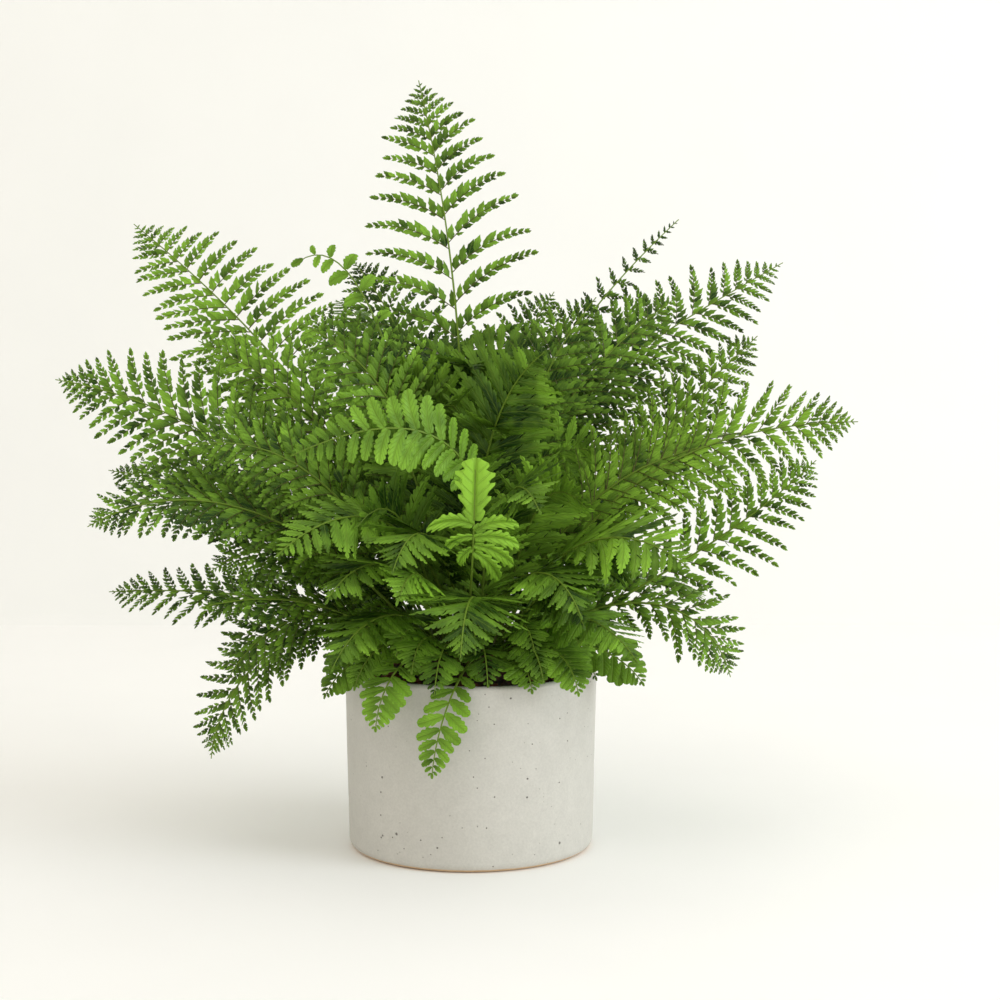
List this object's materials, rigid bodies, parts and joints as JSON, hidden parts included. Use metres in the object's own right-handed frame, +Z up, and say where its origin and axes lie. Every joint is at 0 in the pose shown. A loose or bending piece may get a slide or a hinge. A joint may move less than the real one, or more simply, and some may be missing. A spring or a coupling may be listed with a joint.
{
  "type": "potted fern",
  "caption": "Lace fern with long arched fronds, twice divided into small toothed leaflets, growing from a round straight-sided stoneware pot filled with potting mix.",
  "frame": {"origin": "centre of the pot's flat underside, on the surface that the pot stands on", "axes": "+Z up along the pot's axis; the picture looks along +Y, with +X to its right"},
  "size_m": [0.4842, 0.3535, 0.4861],
  "materials": {
    "stoneware": "matte, warm grey with fine dark specks",
    "potting_mix": "crumbly bark and peat, dark brown",
    "rhizome": "scaly, dark brown",
    "frond_green": "satin leaf, mid green",
    "leaf_green": "satin leaf, fresh green",
    "young_green": "satin leaf, yellow-green"
  },
  "bodies": {
    "root": {"frond_back": "frond_green", "frond_back_left": "frond_green", "frond_back_left_high": "frond_green", "frond_back_left_low": "frond_green", "frond_back_left_up": "frond_green", "frond_back_low": "frond_green", "frond_back_right": "frond_green", "frond_back_right_high": "frond_green", "frond_back_right_low": "frond_green", "frond_back_up": "frond_green", "frond_centre_left": "frond_green", "frond_centre_right": "frond_green", "frond_front_arm": "leaf_green", "frond_front_fan": "frond_green", "frond_front_left": "leaf_green", "frond_front_left_low": "frond_green", "frond_front_left_mid": "frond_green", "frond_front_right": "frond_green", "frond_front_right_low": "leaf_green", "frond_front_right_mid": "frond_green", "frond_left": "frond_green", "frond_left_behind": "frond_green", "frond_left_hanging": "frond_green", "frond_left_low": "frond_green", "frond_left_mid": "frond_green", "frond_left_short": "frond_green", "frond_middle_front": "frond_green", "frond_middle_left": "frond_green", "frond_right": "frond_green", "frond_right_hanging": "frond_green", "frond_right_low": "frond_green", "frond_right_mid": "frond_green", "frond_right_thin": "frond_green", "frond_right_up": "frond_green", "frond_rim_back_left": "leaf_green", "frond_rim_back_right": "leaf_green", "frond_rim_far_left": "leaf_green", "frond_rim_front": "leaf_green", "frond_rim_front_right": "leaf_green", "frond_rim_left": "leaf_green", "frond_rim_middle": "leaf_green", "frond_rim_right": "leaf_green", "frond_small_arch": "leaf_green", "frond_top": "frond_green", "frond_upper_left": "frond_green", "frond_upper_right": "frond_green", "frond_young": "young_green", "pot": "stoneware", "potting_mix": "potting_mix", "rhizome": "rhizome"}
  },
  "joints": []
}
